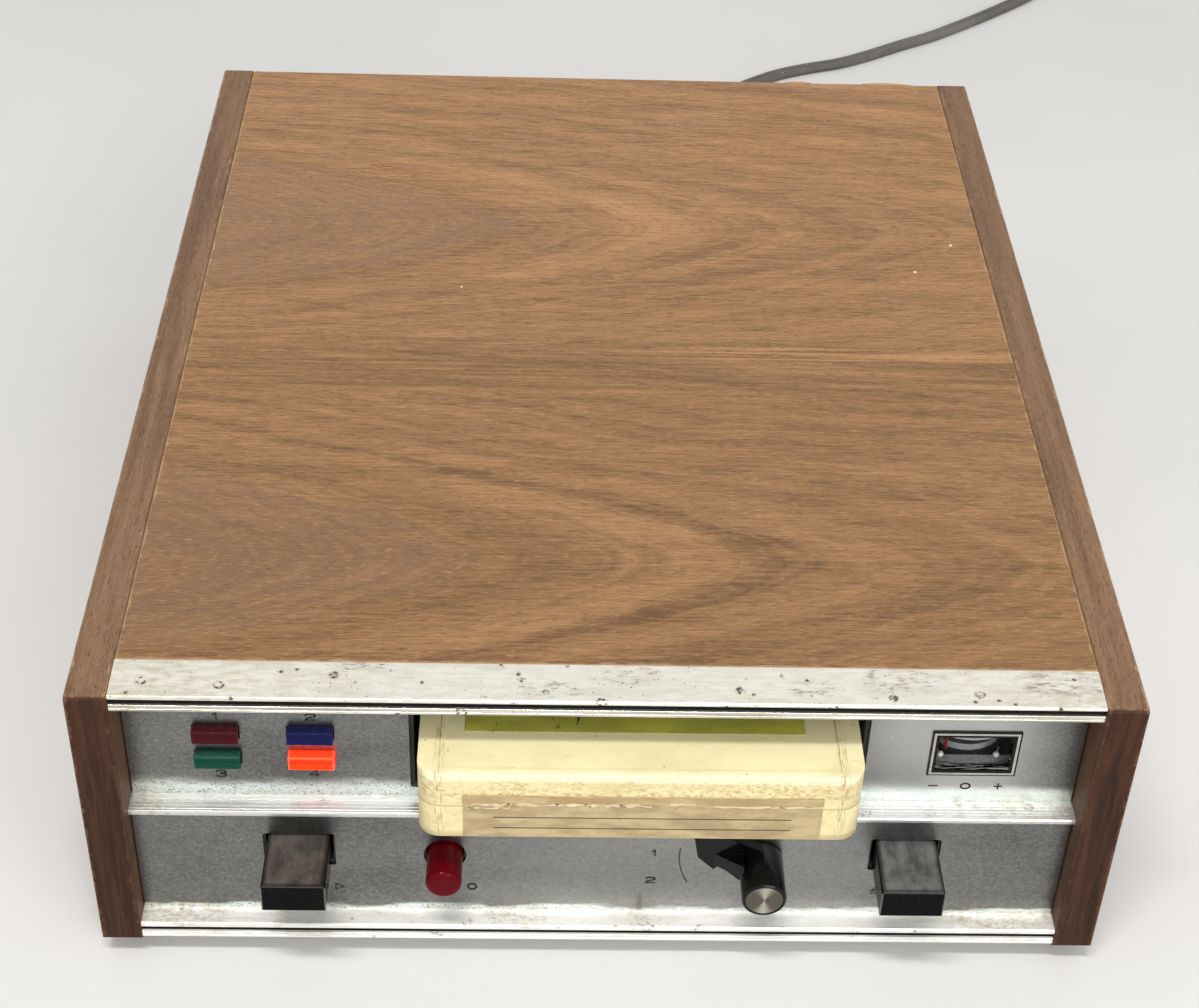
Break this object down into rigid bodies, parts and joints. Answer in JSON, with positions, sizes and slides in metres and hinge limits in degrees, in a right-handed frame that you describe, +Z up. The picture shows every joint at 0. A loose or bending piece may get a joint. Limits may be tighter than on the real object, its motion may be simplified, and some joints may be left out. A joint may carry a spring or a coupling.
{
  "type": "eight-track cartridge recorder deck",
  "caption": "Wooden-cased tape recorder deck with a stepped aluminium front, cartridge in its slot, push buttons, lever knob, lamps, level meter and mains lead.",
  "frame": {"origin": "on the surface the deck stands on, under the middle of its box, controls included and mains lead left out", "axes": "+Z up, -Y out of the front, +X to the right seen from the front"},
  "size_m": [0.353, 0.6943, 0.0875],
  "materials": {
    "walnut_side": "dark walnut, satin lacquer worn at the edges",
    "walnut_top": "walnut veneer, satin lacquer with faded streaks",
    "softwood": "bare softwood strip",
    "black_steel": "satin black paint on sheet steel",
    "foot_rubber": "moulded black rubber",
    "screw_steel": "zinc plated",
    "bright_trim": "bright extruded aluminium with corrosion specks",
    "brushed_plate": "fine brushed aluminium, mottled with age",
    "black_filler": "matt black filler",
    "lens_red": "dark red moulded lens, unlit",
    "lens_blue": "dark blue moulded lens, unlit",
    "lens_green": "dark green moulded lens, unlit",
    "lens_orange": "orange moulded lens, lit from behind",
    "white_plastic": "white moulded plastic",
    "bulb_glass": "clear glass",
    "meter_black": "gloss black moulding",
    "meter_glass": "clear flat window",
    "meter_silver": "satin silver",
    "needle_red": "red painted pointer",
    "button_black": "gloss black moulding",
    "record_red": "dark red moulding",
    "knob_black": "satin black moulding",
    "inlay_aluminium": "spun disc",
    "grey_plastic": "dark grey moulding",
    "switch_board": "phenolic board",
    "cartridge_shell": "yellowed cream moulding",
    "label_paper": "aged paper",
    "roller_rubber": "black rubber tyre",
    "tape_brown": "wound tape on a moulded platform",
    "deck_steel": "yellow passivated sheet steel",
    "turned_steel": "turned steel",
    "bronze": "sintered bronze",
    "belt_rubber": "ground rubber",
    "motor_steel": "grey painted can",
    "head_metal": "polished can",
    "cam_nylon": "natural nylon",
    "coil_orange": "taped winding in a steel frame",
    "core_iron": "varnished laminations",
    "circuit_brown": "phenolic board with its components",
    "jack_metal": "nickel plated",
    "relief_vinyl": "moulded black vinyl",
    "cord_vinyl": "flat two-core vinyl lead",
    "plug_vinyl": "moulded vinyl with nickel blades"
  },
  "bodies": {
    "case": {"side_board_left": "walnut_side", "side_board_right": "walnut_side", "top_panel": "walnut_top", "top_cleats": "softwood", "bottom_cover": "black_steel", "rear_panel": "black_steel", "rubber_feet": "foot_rubber", "case_screws": "screw_steel", "top_trim": "bright_trim", "bottom_trim": "bright_trim", "groove_strips": "black_filler", "mid_ledge": "bright_trim", "faceplate_upper": "brushed_plate", "faceplate_lower": "brushed_plate", "lamp_lens_1": "lens_red", "lamp_lens_2": "lens_blue", "lamp_lens_3": "lens_green", "lamp_lens_4": "lens_orange", "lamp_housing": "white_plastic", "lamp_bulbs": "bulb_glass", "meter_bezel": "meter_black", "meter_window": "meter_glass", "meter_dial": "meter_silver", "meter_housing": "meter_black", "button_guides": "grey_plastic", "function_switch": "switch_board", "slot_guide": "grey_plastic", "chassis": "deck_steel", "deck_posts": "turned_steel", "capstan_bearing": "bronze", "drive_belt": "belt_rubber", "motor": "motor_steel", "solenoid": "coil_orange", "arm_spring": "turned_steel", "transformer": "core_iron", "circuit_board": "circuit_brown", "phono_jacks": "jack_metal", "strain_relief": "relief_vinyl", "power_cord": "cord_vinyl", "cord_coil": "cord_vinyl", "cord_plug": "plug_vinyl"},
    "program_button": {"program_button": "button_black"},
    "eject_button": {"eject_button": "button_black"},
    "record_button": {"record_button": "record_red"},
    "function_knob": {"function_knob": "knob_black", "knob_inlay": "inlay_aluminium"},
    "meter_needle": {"meter_needle": "needle_red"},
    "dust_flap": {"dust_flap": "grey_plastic"},
    "cartridge": {"cartridge_top": "cartridge_shell", "cartridge_bottom": "cartridge_shell", "cartridge_labels": "label_paper"},
    "cartridge_roller": {"cartridge_roller": "roller_rubber"},
    "tape_reel": {"tape_reel": "tape_brown"},
    "flywheel": {"flywheel": "turned_steel"},
    "motor_pulley": {"motor_pulley": "bronze"},
    "tape_head": {"tape_head": "head_metal"},
    "program_cam": {"program_cam": "cam_nylon"},
    "solenoid_plunger": {"solenoid_plunger": "turned_steel"},
    "roller_arm": {"roller_arm": "deck_steel"},
    "latch_roller": {"latch_roller": "cam_nylon"}
  },
  "joints": [
    {"name": "program_button_push", "type": "slide", "parent": "case", "child": "program_button", "axis": [0, 1, 0], "range_m": [0, 0.004], "stiffness_N_per_m": 400, "springref_m": -0.002},
    {"name": "eject_button_push", "type": "slide", "parent": "case", "child": "eject_button", "axis": [0, 1, 0], "range_m": [0, 0.004], "stiffness_N_per_m": 500, "springref_m": -0.002},
    {"name": "record_button_push", "type": "slide", "parent": "case", "child": "record_button", "axis": [0, 1, 0], "range_m": [0, 0.0035], "stiffness_N_per_m": 300, "springref_m": -0.002},
    {"name": "function_knob_turn", "type": "hinge", "parent": "case", "child": "function_knob", "pos_m": [0.0378, -0.1375, 0.0315], "axis": [0, -1, 0], "range_deg": [0, 45]},
    {"name": "meter_needle_swing", "type": "hinge", "parent": "case", "child": "meter_needle", "pos_m": [0.0859, -0.1165, 0.0632], "axis": [0, 0, 1], "range_deg": [0, 60], "stiffness_Nm_per_rad": 0.0001, "springref_deg": -5.73},
    {"name": "dust_flap_lift", "type": "hinge", "parent": "case", "child": "dust_flap", "pos_m": [0.0075, -0.128, 0.073], "axis": [1, 0, 0], "range_deg": [0, 6], "stiffness_Nm_per_rad": 0.001, "springref_deg": -85.94},
    {"name": "cartridge_slide", "type": "slide", "parent": "case", "child": "cartridge", "axis": [0, -1, 0], "range_m": [0, 0.135]},
    {"name": "flywheel_spin", "type": "hinge", "parent": "case", "child": "flywheel", "pos_m": [0.041, -0.0171, 0.025], "axis": [0, 0, 1], "continuous": true},
    {"name": "motor_pulley_spin", "type": "hinge", "parent": "case", "child": "motor_pulley", "pos_m": [-0.058, 0.0355, 0.025], "axis": [0, 0, 1], "continuous": true},
    {"name": "cartridge_roller_spin", "type": "hinge", "parent": "cartridge", "child": "cartridge_roller", "pos_m": [0.041, -0.0293, 0.06], "axis": [0, 0, 1], "continuous": true},
    {"name": "tape_reel_spin", "type": "hinge", "parent": "cartridge", "child": "tape_reel", "pos_m": [0.0075, -0.1005, 0.055], "axis": [0, 0, 1], "continuous": true},
    {"name": "program_cam_turn", "type": "hinge", "parent": "case", "child": "program_cam", "pos_m": [-0.002, 0.0075, 0.0573], "axis": [0, -1, 0], "range_deg": [0, 270]},
    {"name": "tape_head_lift", "type": "slide", "parent": "case", "child": "tape_head", "axis": [0, 0, 1], "range_m": [0, 0.0024]},
    {"name": "solenoid_plunger_pull", "type": "slide", "parent": "case", "child": "solenoid_plunger", "axis": [-1, 0, 0], "range_m": [0, 0.004], "stiffness_N_per_m": 150, "springref_m": -0.002},
    {"name": "roller_arm_swing", "type": "hinge", "parent": "case", "child": "roller_arm", "pos_m": [0.074, -0.0865, 0.0607], "axis": [0, 0, 1], "range_deg": [0, 4.4], "stiffness_Nm_per_rad": 0.2, "springref_deg": -5.73},
    {"name": "latch_roller_spin", "type": "hinge", "parent": "roller_arm", "child": "latch_roller", "pos_m": [0.0622, -0.04805, 0.0607], "axis": [0, 0, 1], "continuous": true}
  ],
  "couplings": [
    {"joint": "motor_pulley_spin", "follows": "flywheel_spin", "ratio": 5.5385},
    {"joint": "cartridge_roller_spin", "follows": "flywheel_spin", "ratio": -0.1569},
    {"joint": "tape_reel_spin", "follows": "flywheel_spin", "ratio": 0.05},
    {"joint": "program_cam_turn", "follows": "tape_head_lift", "rad_per_m": 1963.4}
  ]
}
